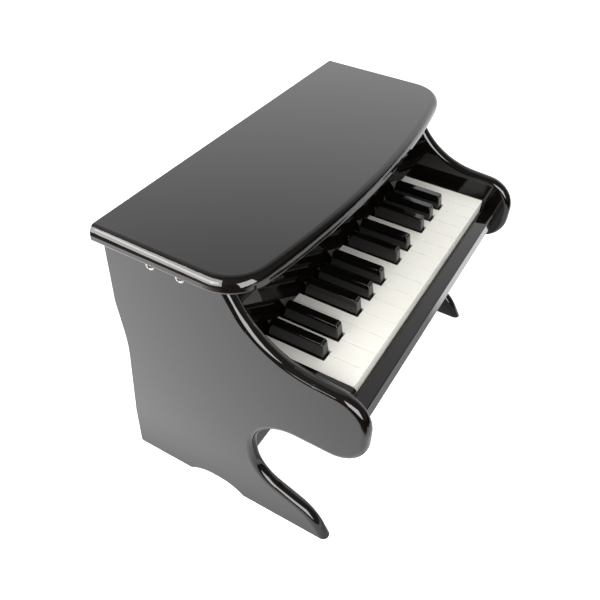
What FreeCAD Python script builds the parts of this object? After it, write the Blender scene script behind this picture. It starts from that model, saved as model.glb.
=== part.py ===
import FreeCAD, Part
import math
import os

# Upright toy piano with 25 keys. Millimetres, +Z up, the player sits at -Y.
# The origin is on the floor, under the middle of the overall box.

# Keyboard layout
WHITE_COUNT = 15
KEY_PITCH = 22.0          # one white key with its gap
KEY_GAP = 0.5             # between neighbouring white keys
KEY_LEVEL = 199.0         # tops of the white keys above the floor
PAIR_SPREAD = 2.2         # black keys in a pair stand this far off the gap between two white keys
TRIPLE_SPREAD = 3.9       # the same for the outer two of a group of three

# White keys
WHITE_SHOWN = 93.1        # key front to the fallboard's lower edge
HEAD_LENGTH = 34.6        # full-width front part
HEAD_DEPTH = 18.0
HEAD_WALL = 2.0           # moulded wall round the hollow head
STICK_DEPTH = 14.0        # the narrow part between the black keys
WHITE_EDGE = 0.4          # rounding of the top edges
KEY_DIP = 6.0             # travel at the key front

# Black keys
NOTCH_WIDTH = 13.8        # cut in the white keys
BLACK_SIDE_GAP = 1.5
BLACK_FRONT_GAP = 1.2
BLACK_RISE = 14.8         # above the white keys
BLACK_ROOT = 2.0          # the cap starts this far below the white tops
BLACK_TAPER = 1.1         # each side leans in by this much
BLACK_SLOPE = 2.6         # the front leans back by this much
BLACK_REAR_GAP = 1.2      # the cap ends this far in front of the fallboard's lower edge
BLACK_EDGE = 1.0          # rounding along the top and up the corners
BLACK_FRONT_EDGE = 2.6    # rounding between the top and the front

# Key tails, pivot and tone rods
TAIL_HEIGHT = 10.0
TAIL_SHARE = 0.36         # tail width as a share of the key pitch
HAMMER_LENGTH = 6.0       # hammer post along the key
HAMMER_TIP = 2.8
PIVOT_BEHIND = 15.1       # behind the fallboard's lower edge
PIVOT_RADIUS = 1.5
COMB_DEPTH = 16.0
COMB_BASE = 4.0
COMB_TOOTH_DEPTH = 10.0
COMB_TOOTH_SHARE = 0.11   # tooth thickness as a share of the key pitch
COMB_CLEARANCE = 0.8      # in front of the comb and its teeth
STRIKE_AHEAD = 11.0       # strike point in front of the tone block
STRIKE_GAP = 0.5          # left between a raised hammer and its rod
ROD_RADIUS = 1.25
ROD_ABOVE_KEYS = 17.0
BASS_ROD_SHARE = 0.93     # of the room between the tone block and the fallboard
TREBLE_ROD_SHARE = 0.5
ROD_SEAT = 6.0            # pressed into the block
BLOCK_THICK = 12.0
BLOCK_HEIGHT = 14.0
BLOCK_END_GAP = 2.0       # block ends short of the battens
TONE_RAIL_HEIGHT = 26.0
REST_DEPTH = 14.0
REST_AHEAD = 8.0          # rest felt in front of the strike point

# Case
SIDE_THICK = 13.0
SIDE_EDGE = 6.0           # rounding of the side panels from the neck round to the toe
KEY_BLOCK_WIDTH = 17.3
KEY_BLOCK_RISE = 0.6      # above the white keys
KEY_BLOCK_NOSE = 2.5      # reach over the slip
KEY_BLOCK_EDGE = 5.0
NOSE_AHEAD = 13.3         # side panel noses in front of the slip
SLIP_THICK = 15.0
SLIP_COVER = 4.5          # slip top above the key lips
SLIP_EDGE = 1.5
KEY_FRONT_GAP = 1.3       # slip to key fronts
CASE_BEHIND = 132.8       # fallboard's lower edge to the rear edge of the sides
CASE_ABOVE_KEYS = 81.3
KEYBED_THICK = 9.0
FALL_LEAN = 18.0          # degrees from upright
FALL_THICK = 9.0
FALL_ABOVE_KEYS = 1.5
FALL_EDGE = 2.0
LOWER_BOARD_THICK = 12.0
LOWER_BOARD_SET = 4.4     # its face in front of the fallboard's lower edge
LOWER_BOARD_FOOT = 61.5   # its lower edge above the floor
BACK_THICK = 3.0
BACK_INSET = 8.0          # back panel inside the rear edge of the sides
BATTEN = 12.0
BRACE_THICK = 20.0
BRACE_SHARE = 0.64        # of the room between the fallboard's top and the back panel
BRACE_PLACE = 0.38        # its middle, as a share of the same room
SIDE_SCREW_SHARE = 0.54   # screw spacing as a share of the brace

# Outline of a side panel, from the neck under the lid round to the rear edge
NECK_TOP_BEHIND = 12.0    # behind the fallboard's lower edge
NECK_AHEAD = 23.1         # in front of it
NECK_RISE = 23.0          # above the keys
NECK_ROUND = 91.0
ARM_RISE = 16.0           # arm above the keys
ARM_TOP_ROUND = 34.0
ARM_DROP = 60.6           # underside of the arm below the keys
ARM_UNDER_ROUND = 32.0
ARMPIT_AHEAD = 6.5
ARMPIT_DROP = 60.0
ARMPIT_ROUND = 45.0
KNEE_AHEAD = 16.9
KNEE_HEIGHT = 56.2
KNEE_ROUND = 42.0
INSTEP_BEHIND = 41.6      # behind the nose
INSTEP_HEIGHT = 29.8
INSTEP_ROUND = 56.0
TOE_BEHIND = 24.0
SOLE_ROUND = 2.0
ARCH_BEHIND = 31.8        # middle of the arch behind the fallboard's lower edge
ARCH_HALF = 33.2
ARCH_FLAT = 18.8
ARCH_RISE = 11.0
ARCH_ROUND = 46.0
HEEL_HEIGHT = 52.0
HEEL_ROUND = 70.0
WAIST_INSET = 6.8
WAIST_DROP = 43.0         # below the keys
WAIST_ROUND = 166.0
SHOULDER_RISE = 7.9       # above the keys
SHOULDER_ROUND = 60.0

# Lid
LID_THICK = 15.6
LID_SIDE = 11.7           # overhang at each side
LID_REAR = 0.5            # overhang at the rear
LID_AHEAD = 10.9          # front corners in front of the fallboard's lower edge
LID_BOW = 19.5            # the front bows out by this much
LID_FRONT_CORNER = 39.0
LID_EDGE_IN = 6.0         # upper edge: elliptical, this far in from the rim; the rear edge stays square
LID_EDGE_DOWN = 9.0       # and this far down
LID_UNDER_EDGE = 3.0

# Fits and soft strips
FELT_THICK = 2.0
FRONT_FELT_DEPTH = 12.0
FELT_GAP = 0.3
RUN_FIT = 0.05            # keys on the pivot rod
SEAT_FIT = 0.02           # rods and screws in their holes

# Screws: head radius, head height, shank radius, shank length
SIDE_SCREW = (4.5, 2.8, 2.0, 34.0)
BACK_SCREW = (3.0, 1.8, 1.25, 9.0)
LID_SCREW = (4.0, 2.2, 1.75, 29.0)
BLOCK_SCREW = (3.0, 2.0, 1.5, 18.0)

# Levels, from the floor up
side_top = KEY_LEVEL + CASE_ABOVE_KEYS
lip_bottom = KEY_LEVEL - HEAD_DEPTH
stick_bottom = KEY_LEVEL - STICK_DEPTH
tail_top = stick_bottom + TAIL_HEIGHT
pivot_z = stick_bottom + TAIL_HEIGHT / 2
keybed_top = lip_bottom - KEY_DIP - FELT_THICK - FELT_GAP
keybed_bottom = keybed_top - KEYBED_THICK
slip_top = lip_bottom + SLIP_COVER
fall_bottom = KEY_LEVEL + FALL_ABOVE_KEYS
rod_z = KEY_LEVEL + ROD_ABOVE_KEYS
brace_bottom = side_top - BRACE_THICK

# Stations, from the front to the rear
depth = NOSE_AHEAD + SLIP_THICK + KEY_FRONT_GAP + WHITE_SHOWN + CASE_BEHIND + LID_REAR
nose_y = -depth / 2
slip_front = nose_y + NOSE_AHEAD
slip_rear = slip_front + SLIP_THICK
key_front = slip_rear + KEY_FRONT_GAP
notch_front = key_front + HEAD_LENGTH
black_front = notch_front + BLACK_FRONT_GAP
fall_y = key_front + WHITE_SHOWN
pivot_y = fall_y + PIVOT_BEHIND
stick_rear = pivot_y - COMB_TOOTH_DEPTH / 2 - COMB_CLEARANCE
rear_y = fall_y + CASE_BEHIND
lid_rear = rear_y + LID_REAR
back_rear = rear_y - BACK_INSET
back_front = back_rear - BACK_THICK
rail_front = back_front - BATTEN
block_front = rail_front - BLOCK_THICK
strike_y = block_front - STRIKE_AHEAD
rest_rear = strike_y - REST_AHEAD
fall_slope = math.tan(math.radians(FALL_LEAN))
fall_level_thick = FALL_THICK / math.cos(math.radians(FALL_LEAN))
fall_top_y = fall_y + (side_top - fall_bottom) * fall_slope
brace_room = back_front - fall_top_y - fall_level_thick
brace_depth = BRACE_SHARE * brace_room
brace_y = back_front - (1 - BRACE_PLACE) * brace_room
rod_room = block_front - fall_y - (rod_z - fall_bottom) * fall_slope - fall_level_thick

# Widths, from the middle out
keyboard_x = WHITE_COUNT * KEY_PITCH / 2
inner_x = keyboard_x + KEY_BLOCK_WIDTH
outer_x = inner_x + SIDE_THICK
lid_x = outer_x + LID_SIDE
batten_x = inner_x - BATTEN
black_width = NOTCH_WIDTH - 2 * BLACK_SIDE_GAP
tail_width = TAIL_SHARE * KEY_PITCH
tooth_width = COMB_TOOTH_SHARE * KEY_PITCH

# The key angle that gives the dip at the key front, and how high it lifts the hammers
key_sine = KEY_DIP / (pivot_y - key_front)
hammer_top = rod_z - ROD_RADIUS - STRIKE_GAP - (strike_y + HAMMER_LENGTH / 2 - pivot_y) * key_sine


def box(x0, x1, y0, y1, z0, z1):
    return Part.makeBox(x1 - x0, y1 - y0, z1 - z0, FreeCAD.Vector(x0, y0, z0))


def bar_along_x(radius, y, z, x0, x1):
    return Part.makeCylinder(radius, x1 - x0, FreeCAD.Vector(x0, y, z), FreeCAD.Vector(1, 0, 0))


def bar_along_y(radius, x, z, y0, y1):
    return Part.makeCylinder(radius, y1 - y0, FreeCAD.Vector(x, y0, z), FreeCAD.Vector(0, 1, 0))


def rounded_outline(corners):
    """Closed wire in the YZ plane through corners (y, z, radius), each rounded by a tangent arc."""
    points = [FreeCAD.Vector(0, y, z) for y, z, radius in corners]
    count = len(points)
    arcs = []
    for i in range(count):
        radius = corners[i][2]
        back = (points[i - 1] - points[i]).normalize()
        ahead = (points[(i + 1) % count] - points[i]).normalize()
        half = back.getAngle(ahead) / 2
        reach = radius / math.tan(half)
        middle = (back + ahead).normalize() * (radius / math.sin(half) - radius)
        arcs.append((points[i] + back * reach, points[i] + middle, points[i] + ahead * reach))
    edges = []
    for i in range(count):
        first, middle, last = arcs[i]
        if corners[i][2] > 0:
            edges.append(Part.Arc(first, middle, last).toShape())
        edges.append(Part.makeLine(last, arcs[(i + 1) % count][0]))
    return Part.Wire(edges)


def prism(corners, x0, x1):
    """Solid between x0 and x1 with a rounded outline in the YZ plane."""
    face = Part.Face(rounded_outline(corners))
    face.translate(FreeCAD.Vector(x0, 0, 0))
    return face.extrude(FreeCAD.Vector(x1 - x0, 0, 0))


def edges_between(shape, low, high):
    """Edges that lie wholly between two heights."""
    return [e for e in shape.Edges if e.BoundBox.ZMin > low - 1e-4 and e.BoundBox.ZMax < high + 1e-4]


def black_keys():
    """Black key centres: the number of white keys to the left, and x."""
    spread = {1: -PAIR_SPREAD, 2: PAIR_SPREAD, 4: -TRIPLE_SPREAD, 5: 0.0, 6: TRIPLE_SPREAD}
    places = []
    for gap in range(1, WHITE_COUNT):
        if gap % 7 in spread:
            places.append((gap, gap * KEY_PITCH - keyboard_x + spread[gap % 7]))
    return places


def white_span(index):
    left = index * KEY_PITCH - keyboard_x
    return left + KEY_GAP / 2, left + KEY_PITCH - KEY_GAP / 2


def stick_span(index):
    """Sides of a white key between the notches of its black neighbours."""
    left, right = white_span(index)
    beside = dict(black_keys())
    if index in beside:
        left = beside[index] + NOTCH_WIDTH / 2
    if index + 1 in beside:
        right = beside[index + 1] - NOTCH_WIDTH / 2
    return left, right


def tail_centres():
    """Centres of all key tails, bass to treble."""
    whites = [sum(stick_span(i)) / 2 for i in range(WHITE_COUNT)]
    blacks = [x for gap, x in black_keys()]
    return sorted(whites + blacks)


def tail_gaps():
    """Middles of the spaces between neighbouring tails."""
    centres = tail_centres()
    return [(a + b) / 2 for a, b in zip(centres, centres[1:])]


def key_tail(centre):
    """Lever behind the fallboard with the hammer post at its end, bored for the pivot rod."""
    start = stick_rear - COMB_BASE
    end = strike_y + HAMMER_LENGTH / 2
    lever = prism([
        (start, stick_bottom, 0),
        (end, stick_bottom, HAMMER_TIP),
        (end, hammer_top, HAMMER_TIP),
        (end - HAMMER_LENGTH, hammer_top, HAMMER_TIP),
        (end - HAMMER_LENGTH, tail_top, HAMMER_TIP),
        (start, tail_top, 0),
    ], centre - tail_width / 2, centre + tail_width / 2)
    return lever.cut(bar_along_x(PIVOT_RADIUS + RUN_FIT, pivot_y, pivot_z, centre - tail_width, centre + tail_width))


def white_key(index):
    """Hollow head, narrow stick between the black keys, and tail."""
    left, right = white_span(index)
    stick_left, stick_right = stick_span(index)
    head = box(left, right, key_front, notch_front, lip_bottom, KEY_LEVEL)
    stick = box(stick_left, stick_right, notch_front - HEAD_WALL, stick_rear, stick_bottom, KEY_LEVEL)
    top = head.fuse(stick).removeSplitter()
    top = top.makeFillet(WHITE_EDGE, edges_between(top, KEY_LEVEL, KEY_LEVEL))
    hollow = box(left + HEAD_WALL, right - HEAD_WALL, key_front + HEAD_WALL, notch_front - HEAD_WALL,
                 lip_bottom - 1, KEY_LEVEL - HEAD_WALL - WHITE_EDGE)
    return top.cut(hollow).fuse(key_tail((stick_left + stick_right) / 2)).removeSplitter()


def black_key(x):
    """Raised tapered cap on a stick, and tail."""
    half = black_width / 2
    cap_bottom = KEY_LEVEL - BLACK_ROOT
    cap_top = KEY_LEVEL + BLACK_RISE
    cap_rear = fall_y - BLACK_REAR_GAP

    def outline(side, front, rear, z):
        corners = [(x - side, front), (x + side, front), (x + side, rear), (x - side, rear)]
        return Part.makePolygon([FreeCAD.Vector(a, b, z) for a, b in corners + corners[:1]])

    cap = Part.makeLoft([
        outline(half, black_front, cap_rear, cap_bottom),
        outline(half - BLACK_TAPER, black_front + BLACK_SLOPE, cap_rear - BLACK_TAPER, cap_top),
    ], True, True)
    brow = [e for e in edges_between(cap, cap_top, cap_top) if e.BoundBox.YMax < black_front + BLACK_SLOPE + 1e-4]
    cap = cap.makeFillet(BLACK_FRONT_EDGE, brow)
    upper = [e for e in cap.Edges if e.BoundBox.ZMax > cap_bottom + 1 and e.BoundBox.XLength < half]
    cap = cap.makeFillet(BLACK_EDGE, upper)
    stick = box(x - half, x + half, black_front, stick_rear, stick_bottom, cap_bottom)
    return cap.fuse(stick).fuse(key_tail(x)).removeSplitter()


def key_comb():
    """Base strip with a tooth on each side of every key tail."""
    centres = tail_centres()
    ends = [centres[0] - tail_width, centres[-1] + tail_width]
    half = tooth_width / 2
    comb = box(ends[0] - half, ends[1] + half, pivot_y - COMB_DEPTH / 2, pivot_y + COMB_DEPTH / 2,
               keybed_top, keybed_top + COMB_BASE)
    teeth = [box(x - half, x + half, pivot_y - COMB_TOOTH_DEPTH / 2, pivot_y + COMB_TOOTH_DEPTH / 2,
                 keybed_top, tail_top) for x in tail_gaps() + ends]
    comb = comb.fuse(teeth).removeSplitter()
    return comb.cut(bar_along_x(PIVOT_RADIUS + SEAT_FIT, pivot_y, pivot_z, ends[0] - half, ends[1] + half))


def key_pivot_rod():
    centres = tail_centres()
    reach = tail_width + tooth_width / 2
    return bar_along_x(PIVOT_RADIUS, pivot_y, pivot_z, centres[0] - reach, centres[-1] + reach)


def rod_lengths():
    """Tone rod lengths, falling evenly from bass to treble."""
    last = len(tail_centres()) - 1
    step = (TREBLE_ROD_SHARE - BASS_ROD_SHARE) / last
    return [rod_room * (BASS_ROD_SHARE + step * i) for i in range(last + 1)]


def tone_rods():
    rods = [bar_along_y(ROD_RADIUS, x, rod_z, block_front - length, block_front + ROD_SEAT)
            for x, length in zip(tail_centres(), rod_lengths())]
    return Part.makeCompound(rods)


def tone_block():
    """Cast bar, bored for the rods and its own screws."""
    end = batten_x - BLOCK_END_GAP
    block = box(-end, end, block_front, rail_front, rod_z - BLOCK_HEIGHT / 2, rod_z + BLOCK_HEIGHT / 2)
    seats = [bar_along_y(ROD_RADIUS + SEAT_FIT, x, rod_z, block_front, block_front + ROD_SEAT)
             for x in tail_centres()]
    return block.cut(seats + holes(BLOCK_SCREW, block_screw_places()))


def tone_rail():
    rail = box(-batten_x, batten_x, rail_front, back_front, rod_z - TONE_RAIL_HEIGHT / 2, rod_z + TONE_RAIL_HEIGHT / 2)
    return rail.cut(holes(BLOCK_SCREW, block_screw_places()) + holes(BACK_SCREW, back_screw_places()))


def screw(size):
    """Domed screw with a cross recess, head down the +Z axis, seated at the origin."""
    head_radius, head_height, shank_radius, shank_length = size
    ball = (head_radius ** 2 + head_height ** 2) / (2 * head_height)
    dome = Part.makeSphere(ball, FreeCAD.Vector(0, 0, head_height - ball))
    dome = dome.common(Part.makeCylinder(head_radius * 2, head_height * 2))
    arm = head_radius * 0.5
    slot = head_radius * 0.1
    recess = box(-arm, arm, -slot, slot, head_height / 2, head_height * 2)
    recess = recess.fuse(box(-slot, slot, -arm, arm, head_height / 2, head_height * 2))
    shank = Part.makeCylinder(shank_radius, shank_length, FreeCAD.Vector(0, 0, -shank_length))
    return dome.cut(recess).fuse(shank)


def place(shape, position, outward):
    """Turn a shape's +Z axis to the outward direction and move it to the position."""
    turn = FreeCAD.Rotation(FreeCAD.Vector(0, 0, 1), FreeCAD.Vector(*outward))
    placed = shape.copy()
    placed.Placement = FreeCAD.Placement(FreeCAD.Vector(*position), turn)
    return placed


def screws(size, places):
    return Part.makeCompound([place(screw(size), position, outward) for position, outward in places])


def holes(size, places):
    """Cylinders that cut the screws' seats."""
    shank_radius, shank_length = size[2:]
    shaft = Part.makeCylinder(shank_radius + SEAT_FIT, shank_length, FreeCAD.Vector(0, 0, -shank_length))
    return [place(shaft, position, outward) for position, outward in places]


def side_screw_places():
    z = side_top - BRACE_THICK / 2
    step = SIDE_SCREW_SHARE * brace_depth / 2
    return [((side * outer_x, brace_y + end * step, z), (side, 0, 0)) for side in (-1, 1) for end in (-1, 1)]


def lid_screw_places():
    x = inner_x / 2
    step = brace_depth / 4
    return [((side * x, brace_y + end * step, brace_bottom), (0, 0, -1)) for side in (-1, 1) for end in (-1, 1)]


def back_screw_places():
    """A row up each batten and a row along the tone rail."""
    rows = 4
    low = LOWER_BOARD_FOOT + 2 * BATTEN
    high = side_top - BATTEN
    levels = [low + (high - low) * i / (rows - 1) for i in range(rows)]
    x = inner_x - BATTEN / 2
    spots = [(side * x, z) for side in (-1, 1) for z in levels]
    spots += [(step * inner_x / 2, rod_z) for step in (-1, 0, 1)]
    return [((spot_x, back_rear, spot_z), (0, 1, 0)) for spot_x, spot_z in spots]


def block_screw_places():
    """Screws through the block in four of the spaces between rods."""
    gaps = tail_gaps()
    picks = [gaps[round((len(gaps) - 1) * share)] for share in (0.1, 0.37, 0.63, 0.9)]
    return [((x, block_front, rod_z), (0, -1, 0)) for x in picks]


def side_panel(side):
    """One board with the neck, the arm, the foot, the waisted rear edge and the arch."""
    arch_y = fall_y + ARCH_BEHIND
    corners = [
        (fall_y + NECK_TOP_BEHIND, side_top, 0),
        (fall_y - NECK_AHEAD, KEY_LEVEL + NECK_RISE, NECK_ROUND),
        (nose_y, KEY_LEVEL + ARM_RISE, ARM_TOP_ROUND),
        (nose_y, KEY_LEVEL - ARM_DROP, ARM_UNDER_ROUND),
        (fall_y - ARMPIT_AHEAD, KEY_LEVEL - ARMPIT_DROP, ARMPIT_ROUND),
        (fall_y - KNEE_AHEAD, KNEE_HEIGHT, KNEE_ROUND),
        (nose_y + INSTEP_BEHIND, INSTEP_HEIGHT, INSTEP_ROUND),
        (nose_y + TOE_BEHIND, 0, 0),
        (arch_y - ARCH_HALF, 0, SOLE_ROUND),
        (arch_y - ARCH_FLAT, ARCH_RISE, ARCH_ROUND),
        (arch_y + ARCH_FLAT, ARCH_RISE, ARCH_ROUND),
        (arch_y + ARCH_HALF, 0, SOLE_ROUND),
        (rear_y, 0, SOLE_ROUND),
        (rear_y, HEEL_HEIGHT, HEEL_ROUND),
        (rear_y - WAIST_INSET, KEY_LEVEL - WAIST_DROP, WAIST_ROUND),
        (rear_y, KEY_LEVEL + SHOULDER_RISE, SHOULDER_ROUND),
        (rear_y, side_top, 0),
    ]
    near, far = sorted((side * inner_x, side * outer_x))
    panel = prism(corners, near, far)
    neck_top = fall_y + NECK_TOP_BEHIND
    rims = [e for e in panel.Edges if e.BoundBox.XLength < 1e-4 and e.BoundBox.ZMax > side_top - 1e-4
            and e.BoundBox.YMax < neck_top + 1e-4]
    panel = panel.makeFillet(SIDE_EDGE, rims)
    return panel.cut(holes(SIDE_SCREW, side_screw_places()))


def lid_edge_waste(rear, top):
    """Section that is cut away along the lid's upper rim: outside a quarter ellipse, with some air round it."""
    air = 1.0
    inner = FreeCAD.Vector(LID_EDGE_IN - lid_x, rear, top)
    corner = FreeCAD.Vector(-lid_x, rear, top)
    lower = FreeCAD.Vector(-lid_x, rear, top - LID_EDGE_DOWN)
    curve = Part.BezierCurve()
    curve.setPoles([inner, corner, lower])
    curve.setWeight(2, math.sqrt(0.5))
    left = FreeCAD.Vector(-air, 0, 0)
    up = FreeCAD.Vector(0, 0, air)
    outside = Part.makePolygon([lower, lower + left, corner + left + up, inner + up, inner])
    return Part.Wire([curve.toShape()] + outside.Edges)


def lid():
    """Slab with a bowed front and large front corners, rounded round the sides and the front."""
    side_y = fall_y - LID_AHEAD
    top = side_top + LID_THICK
    rear = lid_rear + LID_FRONT_CORNER
    rear_left = FreeCAD.Vector(-lid_x, rear, side_top)
    rear_right = FreeCAD.Vector(lid_x, rear, side_top)
    front_right = FreeCAD.Vector(lid_x, side_y, side_top)
    front_left = FreeCAD.Vector(-lid_x, side_y, side_top)
    front_middle = FreeCAD.Vector(0, side_y - LID_BOW, side_top)
    outline = Part.Wire([
        Part.makeLine(rear_left, rear_right),
        Part.makeLine(rear_right, front_right),
        Part.Arc(front_right, front_middle, front_left).toShape(),
        Part.makeLine(front_left, rear_left),
    ])
    slab = Part.Face(outline).extrude(FreeCAD.Vector(0, 0, LID_THICK))
    upright = [e for e in slab.Edges if e.BoundBox.ZLength > LID_THICK / 2]
    slab = slab.makeFillet(LID_FRONT_CORNER, [e for e in upright if e.BoundBox.YMax < 0])
    rim = [e for e in edges_between(slab, top, top) if e.BoundBox.YMin < rear - 1]
    path = Part.Wire(Part.__sortEdges__(rim))
    slab = slab.cut(path.makePipeShell([lid_edge_waste(rear, top)], True, False))
    under = [e for e in edges_between(slab, side_top, side_top) if e.BoundBox.YMin < rear - 1]
    slab = slab.makeFillet(LID_UNDER_EDGE, under)
    slab = slab.cut(box(-2 * lid_x, 2 * lid_x, lid_rear, 2 * rear, side_top - 1, top + 1))
    return slab.cut(holes(LID_SCREW, lid_screw_places()))


def fallboard():
    return prism([
        (fall_y, fall_bottom, FALL_EDGE),
        (fall_y + fall_level_thick, fall_bottom, FALL_EDGE),
        (fall_top_y + fall_level_thick, side_top, 0),
        (fall_top_y, side_top, 0),
    ], -inner_x, inner_x)


def key_slip():
    return prism([
        (slip_front, keybed_bottom, SLIP_EDGE),
        (slip_rear, keybed_bottom, 0),
        (slip_rear, slip_top, SLIP_EDGE),
        (slip_front, slip_top, SLIP_EDGE),
    ], -inner_x, inner_x)


def key_block(side):
    """Block at the end of the keyboard; its nose rests on the slip."""
    nose = slip_rear - KEY_BLOCK_NOSE
    rear = pivot_y - COMB_DEPTH / 2 - COMB_CLEARANCE
    top = KEY_LEVEL + KEY_BLOCK_RISE
    near, far = sorted((side * (keyboard_x + KEY_GAP), side * inner_x))
    return prism([
        (slip_rear, keybed_top, 0),
        (slip_rear, slip_top, 0),
        (nose, slip_top, 0),
        (nose, top, KEY_BLOCK_EDGE),
        (rear, top, 0),
        (rear, keybed_top, 0),
    ], near, far)


def keybed():
    """Board under the action, notched round the two battens."""
    board = box(-inner_x, inner_x, slip_rear, back_front, keybed_bottom, keybed_top)
    return board.cut([back_batten(-1), back_batten(1)])


def back_batten(side):
    near, far = sorted((side * batten_x, side * inner_x))
    batten = box(near, far, rail_front, back_front, LOWER_BOARD_FOOT, side_top)
    return batten.cut(holes(BACK_SCREW, back_screw_places()))


def back_panel():
    panel = box(-inner_x, inner_x, back_front, back_rear, LOWER_BOARD_FOOT, side_top)
    return panel.cut(holes(BACK_SCREW, back_screw_places()))


def lower_front_board():
    face = fall_y - LOWER_BOARD_SET
    return box(-inner_x, inner_x, face, face + LOWER_BOARD_THICK, LOWER_BOARD_FOOT, keybed_bottom)


def top_brace():
    brace = box(-inner_x, inner_x, brace_y - brace_depth / 2, brace_y + brace_depth / 2, brace_bottom, side_top)
    return brace.cut(holes(SIDE_SCREW, side_screw_places()) + holes(LID_SCREW, lid_screw_places()))


def front_stop_felt():
    front = key_front + 2 * HEAD_WALL
    return box(-keyboard_x, keyboard_x, front, front + FRONT_FELT_DEPTH, keybed_top, keybed_top + FELT_THICK)


def rest_rail():
    top = stick_bottom - FELT_GAP - FELT_THICK
    return box(-keyboard_x, keyboard_x, rest_rear - REST_DEPTH, rest_rear, keybed_top, top)


def rest_felt():
    top = stick_bottom - FELT_GAP
    return box(-keyboard_x, keyboard_x, rest_rear - REST_DEPTH, rest_rear, top - FELT_THICK, top)


def pieces():
    """Every node's name and shape."""
    shapes = {
        "left_side": side_panel(-1),
        "right_side": side_panel(1),
        "lid": lid(),
        "fallboard": fallboard(),
        "key_slip": key_slip(),
        "left_key_block": key_block(-1),
        "right_key_block": key_block(1),
        "lower_front_board": lower_front_board(),
        "keybed": keybed(),
        "top_brace": top_brace(),
        "back_panel": back_panel(),
        "left_back_batten": back_batten(-1),
        "right_back_batten": back_batten(1),
        "key_comb": key_comb(),
        "key_pivot_rod": key_pivot_rod(),
        "front_stop_felt": front_stop_felt(),
        "rest_rail": rest_rail(),
        "rest_felt": rest_felt(),
        "tone_rail": tone_rail(),
        "tone_block": tone_block(),
        "tone_rods": tone_rods(),
        "side_screws": screws(SIDE_SCREW, side_screw_places()),
        "lid_screws": screws(LID_SCREW, lid_screw_places()),
        "back_panel_screws": screws(BACK_SCREW, back_screw_places()),
        "tone_block_screws": screws(BLOCK_SCREW, block_screw_places()),
    }
    for index in range(WHITE_COUNT):
        shapes["white_key_%02d" % (index + 1)] = white_key(index)
    for number, (gap, x) in enumerate(black_keys(), 1):
        shapes["black_key_%02d" % number] = black_key(x)
    return shapes


os.makedirs("parts", exist_ok=True)
for name, shape in pieces().items():
    shape.exportStep("parts/%s.step" % name)
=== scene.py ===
import math

import bmesh
import bpy
from bpy.props import FloatProperty, FloatVectorProperty, PointerProperty
from mathutils import Matrix, Quaternion, Vector, noise


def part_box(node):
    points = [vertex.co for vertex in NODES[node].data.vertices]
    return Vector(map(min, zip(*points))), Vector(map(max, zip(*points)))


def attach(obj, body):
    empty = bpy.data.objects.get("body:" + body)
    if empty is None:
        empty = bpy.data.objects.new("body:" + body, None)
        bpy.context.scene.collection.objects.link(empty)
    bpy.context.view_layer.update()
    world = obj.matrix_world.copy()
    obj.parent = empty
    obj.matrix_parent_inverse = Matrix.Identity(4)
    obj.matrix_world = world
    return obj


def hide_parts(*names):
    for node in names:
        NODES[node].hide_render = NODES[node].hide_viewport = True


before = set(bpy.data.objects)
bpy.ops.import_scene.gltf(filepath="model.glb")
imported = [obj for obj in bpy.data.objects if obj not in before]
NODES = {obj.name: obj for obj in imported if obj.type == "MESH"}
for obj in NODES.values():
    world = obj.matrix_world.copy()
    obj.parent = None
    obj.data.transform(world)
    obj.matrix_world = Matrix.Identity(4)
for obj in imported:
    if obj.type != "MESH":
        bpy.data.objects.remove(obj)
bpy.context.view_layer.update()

bl_info = {
    "name": "Toy Piano",
    "version": (1, 0, 0),
    "blender": (4, 5, 0),
    "location": "View3D > Sidebar > Toy Piano",
    "description": "Finishes a small upright toy piano: lacquered case, moulded keys, action, screws and "
                   "studio",
    "category": "Add Mesh",
}

MM = 0.001
X_AXIS, Y_AXIS, Z_AXIS = range(3)

# The frame's nodes by finish
WHITE_KEYS = sorted(name for name in NODES if name.startswith("white_key"))
BLACK_KEYS = sorted(name for name in NODES if name.startswith("black_key"))
LACQUERED = ("left_side", "right_side", "lid", "fallboard", "key_slip", "left_key_block", "right_key_block",
             "lower_front_board")
WOOD_ACROSS = ("keybed", "top_brace", "rest_rail", "tone_rail")
WOOD_UPRIGHT = ("left_back_batten", "right_back_batten")
FELTS = ("front_stop_felt", "rest_felt")

# Gaps that part two fittings of one node: side by side, between thin rods, and end to end
SIDE_GAP = 5 * MM
ROD_GAP = 3 * MM
END_GAP = 100 * MM

# Screws, as shares of the head's radius or height, the tip as a share of the shank
RIM_HEIGHT = 0.25
SHANK_RADIUS = 0.44
TIP_RADIUS = 0.6
RECESS_REACH = 0.62
RECESS_WIDTH = 0.3
RECESS_FLOOR = 0.3
RECESS_TOP = 1.5

# How much of its width the recess keeps at its floor
RECESS_TAPER = 0.55

# Fineness of the screws and rods, and the angle from which an edge stays sharp
DOME_STEPS = 8
LATHE_STEPS = 32
WELD_GAP = 0.001 * MM
ROD_STEPS = 20
METAL_CREASE = math.radians(40)

# Felt strips: spacing of their sections, size of the nap's lumps, steps of a rounded edge, sharp angle
FELT_STEP = 2 * MM
FELT_LUMP = 3 * MM
FELT_ARC_STEPS = 4
FELT_CREASE = math.radians(50)

# Sockets of a colour mix and of a random number, by place because other kinds share their names
MIX_FIRST = 6
MIX_SECOND = 7
MIX_RESULT = 2
RANDOM_LEAST = 2
RANDOM_MOST = 3
RANDOM_RESULT = 1

# Camera, as fitted to the edges of the case and the keys in the photo, with lens and sensor in mm
CAMERA_PLACE = (-0.5011, -0.2226, 0.6101)
CAMERA_AZIMUTH = math.radians(-62.07)
CAMERA_RISE = math.radians(41.89)
CAMERA_ROLL = math.radians(3.20)
CAMERA_LENS = 39.53
CAMERA_SENSOR = 36.0
CAMERA_NEAR = 0.01

# What the two front lamps share, one of which stands just ahead of the other
FRONT_PAIR = {"faces": (-0.2, -0.06, 0.2), "size": (0.93, 0.64), "roll": -11.6,
              "spares": ("lid", "fallboard")}

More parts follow.
